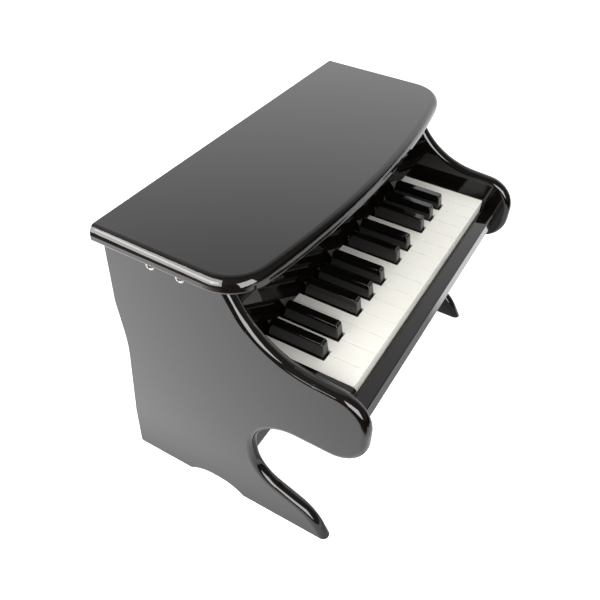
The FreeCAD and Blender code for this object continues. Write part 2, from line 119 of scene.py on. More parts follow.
# Lamps: place, point faced, width and height in metres, roll in degrees and power in watts
LAMPS = (
    {"name": "rear_left_softbox", "place": (-0.943, 0.428, 0.47), "faces": (-0.15, 0.03, 0.47),
     "size": (0.64, 1.0), "power": 14.0, "spares": ("lid",)},
    {"name": "lid_edge_strip", "place": (-0.214, 0.071, 0.2954), "faces": (-0.2, 0.071, 0.2954),
     "size": (0.144, 0.0166), "roll": -1.5, "power": 0.06, "only": ("lid",)},
    {"name": "lid_edge_core", "place": (-0.2138, 0.067, 0.2944), "faces": (-0.2, 0.067, 0.2944),
     "size": (0.13, 0.0042), "roll": -2.9, "power": 0.0103, "only": ("lid",)},
    {"name": "front_left_softbox", "place": (-0.922, -0.666, 0.534), "power": 8.5, **FRONT_PAIR},
    {"name": "front_left_shine", "place": (-0.92, -0.664, 0.533), "power": 10.0, "diffuse": False,
     **FRONT_PAIR},
    {"name": "lid_corner_softbox", "place": (-0.214, -0.06, 0.2855), "faces": (-0.192, -0.013, 0.2925),
     "size": (0.047, 0.038), "roll": 22.0, "power": 0.053, "only": ("lid",)},
    {"name": "arm_edge_strip", "place": (-1.075, 0.112, 0.205), "faces": (-0.195, -0.075, 0.205),
     "size": (0.14, 0.15), "power": 0.42},
)

# Backdrop in reflections: its heading, the cosine to it where it is full, and its glow against the room's
BACKDROP_HEADING = (0.77, 0.64, 0.0)
BACKDROP_FULL = 0.62
BACKDROP_GLOW = 1.5
ROOM_GLOW = 0.14

# Fade towards the backdrop's top: the sines of the rise where it starts and ends, and the share left there
FADE_START = 0.46
FADE_END = 0.85
FADE_SHARE = 0.4

# Soft light of the studio on the object, level and from overhead
AMBIENT_LEVEL = 0.28
AMBIENT_OVERHEAD = 1.2

# Floor: its half width, and the glow that keeps it white to the camera
FLOOR_HALF = 6.0
FLOOR_WHITE = 0.9

# Painted light of a table top that the floor glows with in reflections: its glow at the front left, the rear
# left and the right, and where these lie
TABLE_FRONT_GLOW = 1.64
TABLE_REAR_GLOW = 2.65
TABLE_RIGHT_GLOW = 1.25
TABLE_FRONT = -0.15
TABLE_REAR = 0.35
TABLE_LEFT = -0.25
TABLE_RIGHT = 0.1

# Left end of the table, from x and y at the front to x and y at the middle
LEFT_END_FRONT = (-0.31, -0.3)
LEFT_END_MIDDLE = (-0.51, 0.0)
LEFT_END_BLUR = 0.05

# Front end of the table, which steps from one x and y to another and slopes to the right
FRONT_END_LEFT = (0.02, -0.62)
FRONT_END_RIGHT = (0.12, -0.47)
FRONT_END_SLOPE = -0.3
FRONT_END_BLUR = 0.07

# Painted shade under the piano, a dim patch in the floor's glow: how far forward its middle lies, its half
# sizes, its blurred edge and its glow
UNDER_FORWARD = 0.03
UNDER_HALF_WIDTH = 0.195
UNDER_HALF_DEPTH = 0.16
UNDER_INNER = 0.75
UNDER_OUTER = 1.2
UNDER_GLOW = 0.3


def linear(hex_colour):
    """An sRGB hex colour as linear red, green, blue and alpha."""
    parts = [int(hex_colour[i:i + 2], 16) / 255 for i in (1, 3, 5)]
    return tuple(c / 12.92 if c <= 0.04045 else ((c + 0.055) / 1.055) ** 2.4 for c in parts) + (1.0,)


def colour_property(name, description, hex_colour):
    """A colour that the panel shows."""
    return FloatVectorProperty(name=name, description=description, subtype="COLOR", size=4, min=0.0, max=1.0,
                               default=linear(hex_colour))


def length_property(name, description, millimetres):
    """A length that the panel shows."""
    return FloatProperty(name=name, description=description, unit="LENGTH", min=0.0,
                         default=millimetres * MM)


class TOYPIANO_PG_colours(bpy.types.PropertyGroup):
    """Colours of the finishes"""
    lacquer: colour_property("Lacquer", "Polished lacquer of the case boards", "#0d0a08")
    white_keys: colour_property("White keys", "Moulded plastic of the white keys", "#f4f2e9")
    black_keys: colour_property("Black keys", "Moulded plastic of the black keys", "#090807")
    wood: colour_property("Bare wood", "Boards inside the case", "#c79b66")
    back_board: colour_property("Back board", "Painted hardboard of the back", "#1b1715")
    comb: colour_property("Key comb", "Moulded plastic of the comb", "#77787a")
    felt: colour_property("Felt", "Felt strips under the keys", "#8c2a22")


class TOYPIANO_PG_sizes(bpy.types.PropertyGroup):
    """Sizes of the small fittings"""
    side_head: length_property("Side screw head", "Height of the domed heads on the sides", 2.8)
    lid_head: length_property("Lid screw head", "Height of the heads under the brace", 2.2)
    back_head: length_property("Back screw head", "Height of the heads on the back panel", 1.8)
    block_head: length_property("Block screw head", "Height of the heads on the tone block", 2.0)
    rod_chamfer: length_property("Rod chamfer", "Bevel at the cut ends of the tone rods", 0.3)
    felt_round: length_property("Felt edge", "Rounding of the felt strips' upper edges", 0.6)
    felt_nap: length_property("Felt nap", "Unevenness of the felt strips", 0.2)


def feed(tree, node, inputs):
    """Link each output socket to the input it is given for, and set each plain value on its input."""
    for key, value in inputs.items():
        if isinstance(value, bpy.types.NodeSocket):
            tree.links.new(value, node.inputs[key])
        else:
            node.inputs[key].default_value = value


def add(tree, kind, inputs=None, **settings):
    """Add a node: keywords are its own settings, inputs maps an input to a value or an output socket."""
    node = tree.nodes.new(kind)
    for name, value in settings.items():
        setattr(node, name, value)
    feed(tree, node, inputs or {})
    return node


def new_material(name):
    """A material with a Principled shader: the material, its tree, the shader and object coordinates."""
    material = bpy.data.materials.new(name)
    material.use_nodes = True
    tree = material.node_tree
    tree.nodes.clear()
    shader = add(tree, "ShaderNodeBsdfPrincipled")
    add(tree, "ShaderNodeOutputMaterial", {"Surface": shader.outputs["BSDF"]})
    place = add(tree, "ShaderNodeTexCoord").outputs["Object"]
    return material, tree, shader, place


def shade(colour, factor):
    """A colour made lighter or darker."""
    return tuple(min(1.0, c * factor) for c in colour[:3]) + (1.0,)


def drawn_out(axis, length, across):
    """The scale of a pattern that is drawn out along one axis: its length there and its size across."""
    scale = [1 / across] * 3
    scale[axis] = 1 / length
    return scale


def dress(names, material):
    """Give CAD nodes a material."""
    for name in names:
        slots = NODES[name].data.materials
        slots.clear()
        slots.append(material)


def black_lacquer(colour):
    """Polished black polyester lacquer on fibreboard: a mirror with a faint ripple and a breath of brown."""
    cloud_size = 60 * MM
    ripple_size = 14 * MM
    ripple_depth = 1 * MM
    material, tree, shader, place = new_material("black_polyester_lacquer")
    cloud = add(tree, "ShaderNodeTexNoise", {"Vector": place, "Scale": 1 / cloud_size, "Detail": 3.0})
    haze = add(tree, "ShaderNodeMapRange", {"Value": cloud.outputs["Fac"], "To Min": 0.02, "To Max": 0.06})
    ripple = add(tree, "ShaderNodeTexNoise", {"Vector": place, "Scale": 1 / ripple_size, "Detail": 1.0})
    bump = add(tree, "ShaderNodeBump", {
        "Height": ripple.outputs["Fac"], "Strength": 0.02, "Distance": ripple_depth})
    tint = add(tree, "ShaderNodeMix", {
        "Factor": cloud.outputs["Fac"], MIX_FIRST: shade(colour, 0.8), MIX_SECOND: shade(colour, 1.3)},
        data_type="RGBA")
    feed(tree, shader, {
        "Base Color": tint.outputs[MIX_RESULT], "Roughness": haze.outputs["Result"],
        "Normal": bump.outputs["Normal"], "IOR": 1.52})
    return material


def white_key_plastic(colour):
    """Moulded ivory-white ABS: soft gloss, a slight warmth and faint flow clouds."""
    cloud_size = 25 * MM
    material, tree, shader, place = new_material("ivory_white_abs")
    cloud = add(tree, "ShaderNodeTexNoise", {"Vector": place, "Scale": 1 / cloud_size, "Detail": 2.0})
    haze = add(tree, "ShaderNodeMapRange", {"Value": cloud.outputs["Fac"], "To Min": 0.2, "To Max": 0.3})
    tint = add(tree, "ShaderNodeMix", {
        "Factor": cloud.outputs["Fac"], MIX_FIRST: shade(colour, 0.96), MIX_SECOND: shade(colour, 1.04)},
        data_type="RGBA")
    feed(tree, shader, {
        "Base Color": tint.outputs[MIX_RESULT], "Roughness": haze.outputs["Result"], "IOR": 1.5})
    return material


def black_key_plastic(colour):
    """Moulded black ABS: a satin polish and a fine grain, which is drawn coarser so that it shows."""
    grain_size = 0.8 * MM
    grain_depth = 0.2 * MM
    material, tree, shader, place = new_material("satin_black_abs")
    grain = add(tree, "ShaderNodeTexNoise", {"Vector": place, "Scale": 1 / grain_size, "Detail": 2.0})
    bump = add(tree, "ShaderNodeBump", {
        "Height": grain.outputs["Fac"], "Strength": 0.015, "Distance": grain_depth})
    tint = add(tree, "ShaderNodeMix", {
        "Factor": grain.outputs["Fac"], MIX_FIRST: shade(colour, 0.8), MIX_SECOND: shade(colour, 1.3)},
        data_type="RGBA")
    feed(tree, shader, {
        "Base Color": tint.outputs[MIX_RESULT], "Normal": bump.outputs["Normal"], "Roughness": 0.07,
        "IOR": 1.5})
    return material


def bare_wood(name, colour, axis):
    """Sawn softwood: wavy darker rings along the board, and fibres drawn coarser so that they show."""
    ring_length = 160 * MM
    ring_width = 7 * MM
    fibre_length = 40 * MM
    fibre_width = 0.9 * MM
    fibre_depth = 0.3 * MM
    material, tree, shader, place = new_material(name)
    ring_place = add(tree, "ShaderNodeMapping", {
        "Vector": place, "Scale": drawn_out(axis, ring_length, ring_width)})
    fibre_place = add(tree, "ShaderNodeMapping", {
        "Vector": place, "Scale": drawn_out(axis, fibre_length, fibre_width)})
    rings = add(tree, "ShaderNodeTexNoise", {
        "Vector": ring_place.outputs["Vector"], "Scale": 1.0, "Detail": 2.0, "Distortion": 0.6})
    fibres = add(tree, "ShaderNodeTexNoise", {
        "Vector": fibre_place.outputs["Vector"], "Scale": 1.0, "Detail": 3.0})
    ring_tint = add(tree, "ShaderNodeMix", {
        "Factor": rings.outputs["Fac"], MIX_FIRST: shade(colour, 0.62), MIX_SECOND: shade(colour, 1.25)},
        data_type="RGBA")
    fibre_tint = add(tree, "ShaderNodeMapRange", {
        "Value": fibres.outputs["Fac"], "To Min": 0.8, "To Max": 1.15})
    tint = add(tree, "ShaderNodeVectorMath", {
        0: ring_tint.outputs[MIX_RESULT], "Scale": fibre_tint.outputs["Result"]}, operation="SCALE")
    bump = add(tree, "ShaderNodeBump", {
        "Height": fibres.outputs["Fac"], "Strength": 0.3, "Distance": fibre_depth})
    feed(tree, shader, {
        "Base Color": tint.outputs["Vector"], "Normal": bump.outputs["Normal"], "Roughness": 0.75})
    return material


def painted_hardboard(colour):
    """Black-painted hardboard: a dull satin skin with a pebbled surface and thin brown patches."""
    patch_size = 45 * MM
    pebble_size = 1.6 * MM
    pebble_depth = 0.3 * MM
    material, tree, shader, place = new_material("painted_hardboard")
    patch = add(tree, "ShaderNodeTexNoise", {"Vector": place, "Scale": 1 / patch_size, "Detail": 4.0})
    pebble = add(tree, "ShaderNodeTexNoise", {"Vector": place, "Scale": 1 / pebble_size, "Detail": 2.0})
    tint = add(tree, "ShaderNodeMix", {
        "Factor": patch.outputs["Fac"], MIX_FIRST: shade(colour, 0.7), MIX_SECOND: shade(colour, 1.5)},
        data_type="RGBA")
    haze = add(tree, "ShaderNodeMapRange", {"Value": patch.outputs["Fac"], "To Min": 0.42, "To Max": 0.58})
    bump = add(tree, "ShaderNodeBump", {
        "Height": pebble.outputs["Fac"], "Strength": 0.25, "Distance": pebble_depth})
    feed(tree, shader, {
        "Base Color": tint.outputs[MIX_RESULT], "Roughness": haze.outputs["Result"],
        "Normal": bump.outputs["Normal"]})
    return material


def comb_plastic(colour):
    """Moulded grey plastic: matt, with a sparked mould texture that is drawn coarser so that it shows."""
    spark_size = 1.2 * MM
    spark_depth = 0.2 * MM
    material, tree, shader, place = new_material("moulded_grey_plastic")
    spark = add(tree, "ShaderNodeTexNoise", {"Vector": place, "Scale": 1 / spark_size, "Detail": 2.0})
    tint = add(tree, "ShaderNodeMix", {
        "Factor": spark.outputs["Fac"], MIX_FIRST: shade(colour, 0.85), MIX_SECOND: shade(colour, 1.15)},
        data_type="RGBA")
    bump = add(tree, "ShaderNodeBump", {
        "Height": spark.outputs["Fac"], "Strength": 0.2, "Distance": spark_depth})
    feed(tree, shader, {
        "Base Color": tint.outputs[MIX_RESULT], "Normal": bump.outputs["Normal"], "Roughness": 0.5})
    return material


def drawn_steel(name, axis):
    """Drawn steel wire: bright metal with lines along the wire, drawn coarser so that they show."""
    line_length = 60 * MM
    line_width = 0.5 * MM
    material, tree, shader, place = new_material(name)
    line_place = add(tree, "ShaderNodeMapping", {
        "Vector": place, "Scale": drawn_out(axis, line_length, line_width)})
    lines = add(tree, "ShaderNodeTexNoise", {
        "Vector": line_place.outputs["Vector"], "Scale": 1.0, "Detail": 2.0})
    tint = add(tree, "ShaderNodeMix", {
        "Factor": lines.outputs["Fac"], MIX_FIRST: linear("#9c9da0"), MIX_SECOND: linear("#cfd0d2")},
        data_type="RGBA")
    haze = add(tree, "ShaderNodeMapRange", {"Value": lines.outputs["Fac"], "To Min": 0.2, "To Max": 0.42})
    feed(tree, shader, {
        "Base Color": tint.outputs[MIX_RESULT], "Roughness": haze.outputs["Result"], "Metallic": 1.0})
    return material


def cast_iron():
    """Grey iron as cast: a dark, sandy skin."""
    sand_size = 1.1 * MM
    sand_depth = 0.4 * MM
    material, tree, shader, place = new_material("sand_cast_iron")
    sand = add(tree, "ShaderNodeTexNoise", {"Vector": place, "Scale": 1 / sand_size, "Detail": 3.0})
    tint = add(tree, "ShaderNodeMix", {
        "Factor": sand.outputs["Fac"], MIX_FIRST: linear("#2a2a2c"), MIX_SECOND: linear("#58585b")},
        data_type="RGBA")
    bump = add(tree, "ShaderNodeBump", {
        "Height": sand.outputs["Fac"], "Strength": 0.5, "Distance": sand_depth})
    feed(tree, shader, {
        "Base Color": tint.outputs[MIX_RESULT], "Normal": bump.outputs["Normal"], "Metallic": 0.7,
        "Roughness": 0.62})
    return material


def zinc_plate():
    """Zinc-plated steel: a bright metal with a faint warm passivation and cloudy patches."""
    cloud_size = 2.5 * MM
    material, tree, shader, place = new_material("zinc_plated_steel")
    cloud = add(tree, "ShaderNodeTexNoise", {"Vector": place, "Scale": 1 / cloud_size, "Detail": 2.0})
    tint = add(tree, "ShaderNodeMix", {
        "Factor": cloud.outputs["Fac"], MIX_FIRST: linear("#9c9792"), MIX_SECOND: linear("#d2cbc4")},
        data_type="RGBA")
    haze = add(tree, "ShaderNodeMapRange", {"Value": cloud.outputs["Fac"], "To Min": 0.16, "To Max": 0.3})
    feed(tree, shader, {
        "Base Color": tint.outputs[MIX_RESULT], "Roughness": haze.outputs["Result"], "Metallic": 1.0})
    return material


def wool_felt(colour):
    """Pressed wool felt: matted fibres, drawn coarser so that they show, mottled colour and a soft bloom."""
    fibre_size = 0.7 * MM
    fibre_depth = 0.3 * MM
    material, tree, shader, place = new_material("pressed_wool_felt")
    fibres = add(tree, "ShaderNodeTexNoise", {
        "Vector": place, "Scale": 1 / fibre_size, "Detail": 4.0, "Distortion": 1.5})
    tint = add(tree, "ShaderNodeMix", {
        "Factor": fibres.outputs["Fac"], MIX_FIRST: shade(colour, 0.6), MIX_SECOND: shade(colour, 1.4)},
        data_type="RGBA")
    bump = add(tree, "ShaderNodeBump", {
        "Height": fibres.outputs["Fac"], "Strength": 0.8, "Distance": fibre_depth})
    feed(tree, shader, {
        "Base Color": tint.outputs[MIX_RESULT], "Normal": bump.outputs["Normal"], "Roughness": 0.95,
        "Sheen Weight": 0.4, "Sheen Roughness": 0.5})
    return material


def new_object(name, data):
    """An object at the origin that shows a mesh, a camera or a lamp."""
    item = bpy.data.objects.new(name, data)
    bpy.context.scene.collection.objects.link(item)
    return item


def plain_mesh(item):
    """The mesh of an object with its modifiers worked in."""
    return bpy.data.meshes.new_from_object(item.evaluated_get(bpy.context.evaluated_depsgraph_get()))


def groups(values, gap):
    """First and last value of each run of values, split where neighbours lie further apart than the gap."""
    runs = []
    for value in sorted(values):
        if runs and value - runs[-1][-1] <= gap:
            runs[-1].append(value)
        else:
            runs.append([value])
    return [(run[0], run[-1]) for run in runs]


def fittings(node, axis, gap):
    """Lowest and highest corner of each fitting in a CAD node, whose fittings all lie along one axis."""
    across = [i for i in range(3) if i != axis]
    rest = [tuple(vertex.co) for vertex in NODES[node].data.vertices]
    found = []
    for first in groups({p[across[0]] for p in rest}, gap):
        row = [p for p in rest if first[0] <= p[across[0]] <= first[1]]
        for second in groups({p[across[1]] for p in row}, gap):
            column = [p for p in row if second[0] <= p[across[1]] <= second[1]]
            for third in groups({p[axis] for p in column}, END_GAP):
                one = [p for p in column if third[0] <= p[axis] <= third[1]]
                found.append((Vector(map(min, *one)), Vector(map(max, *one))))
    return found


def node_tree(name, inputs):
    """A geometry node tree with named inputs and one result, and the sockets that hand the inputs in."""
    tree = bpy.data.node_groups.new(name, "GeometryNodeTree")
    for label, kind in inputs.items():
        tree.interface.new_socket(label, in_out="INPUT", socket_type=kind)
    tree.interface.new_socket("Result", in_out="OUTPUT", socket_type="NodeSocketGeometry")
    return tree, add(tree, "NodeGroupInput").outputs


def end_tree(tree, geometry, finish):
    """Make the copies real, give them their material and hand them out."""
    real = add(tree, "GeometryNodeRealizeInstances", {"Geometry": geometry})
    finished = add(tree, "GeometryNodeSetMaterial", {"Geometry": real.outputs[0], "Material": finish})
    add(tree, "NodeGroupOutput", {0: finished.outputs[0]})


def screw_tree():
    """Copies of one screw on points that carry their outward direction, each turned by its own angle."""
    tree, given = node_tree("screws_on_points", {
        "Places": "NodeSocketGeometry", "Screw": "NodeSocketObject", "Finish": "NodeSocketMaterial",
        "Seed": "NodeSocketInt"})
    outward = add(tree, "GeometryNodeInputNamedAttribute", {"Name": "outward"}, data_type="FLOAT_VECTOR")
    facing = add(tree, "FunctionNodeAlignRotationToVector", {
        "Vector": outward.outputs["Attribute"]}, axis="Z")
    angle = add(tree, "FunctionNodeRandomValue", {
        RANDOM_LEAST: 0.0, RANDOM_MOST: math.pi / 2, "Seed": given["Seed"]}, data_type="FLOAT")
    turn = add(tree, "FunctionNodeAxisAngleToRotation", {
        "Axis": (0, 0, 1), "Angle": angle.outputs[RANDOM_RESULT]})
    turned = add(tree, "FunctionNodeRotateRotation", {
        "Rotation": facing.outputs[0], "Rotate By": turn.outputs[0]}, rotation_space="LOCAL")
    shape = add(tree, "GeometryNodeObjectInfo", {"Object": given["Screw"]})
    copies = add(tree, "GeometryNodeInstanceOnPoints", {
        "Points": given["Places"], "Instance": shape.outputs["Geometry"], "Rotation": turned.outputs[0]})
    end_tree(tree, copies.outputs[0], given["Finish"])
    return tree


def rod_tree():
    """Round rods along the lines of a mesh, thinner where the points carry a smaller girth."""
    tree, given = node_tree("rods_along_lines", {
        "Lines": "NodeSocketGeometry", "Radius": "NodeSocketFloat", "Finish": "NodeSocketMaterial"})
    girth = add(tree, "GeometryNodeInputNamedAttribute", {"Name": "girth"}, data_type="FLOAT")
    curve = add(tree, "GeometryNodeMeshToCurve", {"Mesh": given["Lines"]})
    ring = add(tree, "GeometryNodeCurvePrimitiveCircle", {
        "Resolution": ROD_STEPS, "Radius": given["Radius"]})
    rods = add(tree, "GeometryNodeCurveToMesh", {
        "Curve": curve.outputs[0], "Profile Curve": ring.outputs[0], "Scale": girth.outputs["Attribute"],
        "Fill Caps": True})
    end_tree(tree, rods.outputs[0], given["Finish"])
    return tree


def grown(name, mesh, tree, inputs):
    """A plain mesh object that a geometry node tree grows from the given points or lines."""
    item = new_object(name, mesh)
    modifier = item.modifiers.new("grow", "NODES")
    modifier.node_group = tree
    for socket in tree.interface.items_tree:
        if socket.name in inputs:
            modifier[socket.identifier] = inputs[socket.name]
    result = plain_mesh(item)
    item.modifiers.clear()
    item.data = result
    result.shade_smooth()
    result.set_sharp_from_angle(angle=METAL_CREASE)
    return item


def lathe(name, profile):
    """A closed mesh turned round Z from a profile of radii and heights whose ends lie on the axis."""
    mesh = bpy.data.meshes.new(name)
    work = bmesh.new()
    rim = [work.verts.new((radius, 0, height)) for radius, height in profile]
    line = [work.edges.new(pair) for pair in zip(rim, rim[1:])]
    bmesh.ops.spin(work, geom=rim + line, cent=(0, 0, 0), axis=(0, 0, 1), angle=math.tau, steps=LATHE_STEPS,
                   use_duplicate=False)
    bmesh.ops.remove_doubles(work, verts=work.verts, dist=WELD_GAP)
    bmesh.ops.recalc_face_normals(work, faces=work.faces)
    work.to_mesh(mesh)
    work.free()
    return mesh


def cross_cutter(reach, width, floor, top):
    """Two crossed wedges that narrow downward, for the recess of a screw head."""
    mesh = bpy.data.meshes.new("cross_cutter")
    work = bmesh.new()
    for turn in (0, math.pi / 2):
        made = bmesh.ops.create_cube(work, size=1.0)["verts"]
        for vert in made:
            share = 1.0 if vert.co.z > 0 else RECESS_TAPER
            height = top if vert.co.z > 0 else floor
            vert.co = Vector((vert.co.x * 2 * reach * share, vert.co.y * width * share, height))
        bmesh.ops.rotate(work, verts=made, cent=(0, 0, 0), matrix=Matrix.Rotation(turn, 3, "Z"))
    work.to_mesh(mesh)
    work.free()
    return new_object("cross_cutter", mesh)


def domed_screw(head_radius, head_height, shank_length):
    """One pan-headed screw with a cross recess, its seat at the origin and its head upward."""
    rim = RIM_HEIGHT * head_height
    shank = SHANK_RADIUS * head_radius
    angles = [i * math.pi / 2 / DOME_STEPS for i in range(DOME_STEPS)]
    tip = [(0, -shank_length), (TIP_RADIUS * shank, -shank_length), (shank, -shank_length + shank)]
    dome = [(head_radius * math.cos(a), rim + (head_height - rim) * math.sin(a)) for a in angles]
    profile = tip + [(shank, 0), (head_radius, 0)] + dome + [(0, head_height)]
    screw = new_object("screw", lathe("screw", profile))
    cutter = cross_cutter(RECESS_REACH * head_radius, RECESS_WIDTH * head_radius, RECESS_FLOOR * head_height,
                          RECESS_TOP * head_height)
    recess = screw.modifiers.new("recess", "BOOLEAN")
    recess.object = cutter
    recess.operation = "DIFFERENCE"
    recess.use_self = True
    mesh = plain_mesh(screw)
    screw.modifiers.clear()
    screw.data = mesh
    bpy.data.objects.remove(cutter)
    return screw


def screws(node, axis, side, head_height, finish, seed):
    """Screws that stand for a CAD node. Their heads lie at the low (-1) or the high (1) end of the axis, or
    outward (0)."""
    places = []
    facing = []
    for low, high in fittings(node, axis, SIDE_GAP):
        middle = (low + high) / 2
        way = side or math.copysign(1, middle[axis])
        middle[axis] = (high[axis] - head_height) if way > 0 else (low[axis] + head_height)
        outward = Vector((0, 0, 0))
        outward[axis] = way
        places.append(middle)
        facing.append(outward)
    # The screws of a node are alike, so the last one gives the size of all
    size = high - low
    screw = domed_screw(size[(axis + 1) % 3] / 2, head_height, size[axis] - head_height)
    mesh = bpy.data.meshes.new(node + "_places")
    mesh.from_pydata(places, [], [])
    outward = mesh.attributes.new("outward", "FLOAT_VECTOR", "POINT")
    outward.data.foreach_set("vector", [part for way in facing for part in way])
    piece = grown(node + "_turned", mesh, screw_tree(), {"Screw": screw, "Finish": finish, "Seed": seed})
    bpy.data.objects.remove(screw)
    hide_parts(node)
    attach(piece, "case")


def tone_rods(chamfer, finish):
    """The tuned rods, each from its cut front end into the block, with bevelled ends."""
    points = []
    girths = []
    lines = []
    for low, high in fittings("tone_rods", Y_AXIS, ROD_GAP):
        middle = (low + high) / 2
        radius = (high.x - low.x) / 2
        bevelled = 1 - chamfer / radius
        stations = ((low.y, bevelled), (low.y + chamfer, 1), (high.y - chamfer, 1), (high.y, bevelled))
        first = len(points)
        for y, girth in stations:
            points.append((middle.x, y, middle.z))
            girths.append(girth)
        lines += [(i, i + 1) for i in range(first, len(points) - 1)]
    mesh = bpy.data.meshes.new("rod_lines")
    mesh.from_pydata(points, lines, [])
    mesh.attributes.new("girth", "FLOAT", "POINT").data.foreach_set("value", girths)
    # The rods are equally thick, so the last one gives the radius of all
    piece = grown("tone_rods_drawn", mesh, rod_tree(), {"Radius": radius, "Finish": finish})
    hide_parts("tone_rods")
    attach(piece, "case")


def felt_section(half, bottom, top, rounding):
    """Half widths and heights round a felt strip: two square lower edges and two rounded upper ones."""
    arc = [i * math.pi / 2 / FELT_ARC_STEPS for i in range(FELT_ARC_STEPS + 1)]
    front = [(-half + rounding * (1 - math.cos(a)), top - rounding * (1 - math.sin(a))) for a in arc]
    rear = [(half - rounding * (1 - math.sin(a)), top - rounding * (1 - math.cos(a))) for a in arc]
    return [(-half, bottom)] + front + rear + [(half, bottom)]


def felt_strip(node, rounding, nap, finish):
    """A felt strip with soft upper edges and an uneven nap, inside the box of the CAD strip."""
    low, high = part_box(node)
    middle = (low + high) / 2
    half = (high.y - low.y) / 2
    section = felt_section(half, low.z, high.z, rounding)
    count = round((high.x - low.x) / FELT_STEP)
    work = bmesh.new()
    rings = []
    for i in range(count + 1):
        x = low.x + (high.x - low.x) * i / count
        ring = []
        for y, z in section:
            spot = Vector((x, middle.y + y, z))
            worn = nap * (0.5 + 0.5 * noise.noise(spot / FELT_LUMP))
            shrink = 1 - worn / half
            lift = worn if z > middle.z else 0
            ring.append(work.verts.new((x, middle.y + y * shrink, z - lift)))
        rings.append(ring)
    for first, second in zip(rings, rings[1:]):
        for j in range(len(section)):
            k = (j + 1) % len(section)
            work.faces.new((first[j], first[k], second[k], second[j]))
    work.faces.new(rings[0])
    work.faces.new(rings[-1])
    bmesh.ops.recalc_face_normals(work, faces=work.faces)
    mesh = bpy.data.meshes.new(node + "_soft")
    work.to_mesh(mesh)
    work.free()
    mesh.shade_smooth()
    mesh.set_sharp_from_angle(angle=FELT_CREASE)
    mesh.materials.append(finish)
    piece = new_object(node + "_soft", mesh)
    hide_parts(node)
    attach(piece, "case")


def aim_camera():
    """The camera, placed and turned as the photo was taken."""
    data = bpy.data.cameras.new("photo_camera")
    data.sensor_width = CAMERA_SENSOR
    data.lens = CAMERA_LENS
    data.clip_start = CAMERA_NEAR
    camera = new_object("photo_camera", data)
    level = Vector((math.cos(CAMERA_AZIMUTH), math.sin(CAMERA_AZIMUTH), 0))
    ahead = Vector((-math.sin(CAMERA_AZIMUTH), math.cos(CAMERA_AZIMUTH), 0))
    back = -ahead * math.cos(CAMERA_RISE) + Vector((0, 0, math.sin(CAMERA_RISE)))
    rise = back.cross(level)
    right = math.cos(CAMERA_ROLL) * level + math.sin(CAMERA_ROLL) * rise
    up = back.cross(right)
    turned = Matrix((right, up, back)).transposed().to_4x4()
    camera.matrix_world = Matrix.Translation(CAMERA_PLACE) @ turned
    bpy.context.scene.camera = camera


def limit_lamp(lamp, nodes, state):
    """Let a lamp reach only some nodes (INCLUDE) or all but these (EXCLUDE). The large lamps spare the gloss
    lid, which has small ones close to its edge, so that its top stays dark from most other sides."""
    receivers = bpy.data.collections.new(lamp.name + "_receivers")
    for node in nodes:
        receivers.objects.link(NODES[node])
    for member in receivers.collection_objects:
        member.light_linking.link_state = state
    lamp.light_linking.receiver_collection = receivers


def softbox(name, place, faces, size, power, roll=0.0, only=(), spares=(), diffuse=True):
    """A rectangular area lamp that faces a point, turned about its own axis by the roll. It lights only some
    nodes or spares some, and without diffuse it shows in gloss alone."""
    data = bpy.data.lights.new(name, "AREA")
    data.shape = "RECTANGLE"
    data.size, data.size_y = size
    data.energy = power
    lamp = new_object(name, data)
    lamp.location = place
    lamp.visible_camera = False
    lamp.visible_diffuse = diffuse
    facing = (Vector(faces) - Vector(place)).to_track_quat("-Z", "Y")
    lamp.rotation_euler = (facing @ Quaternion((0, 0, 1), math.radians(roll))).to_euler()
    if only:
        limit_lamp(lamp, only, "INCLUDE")
    if spares:
        limit_lamp(lamp, spares, "EXCLUDE")


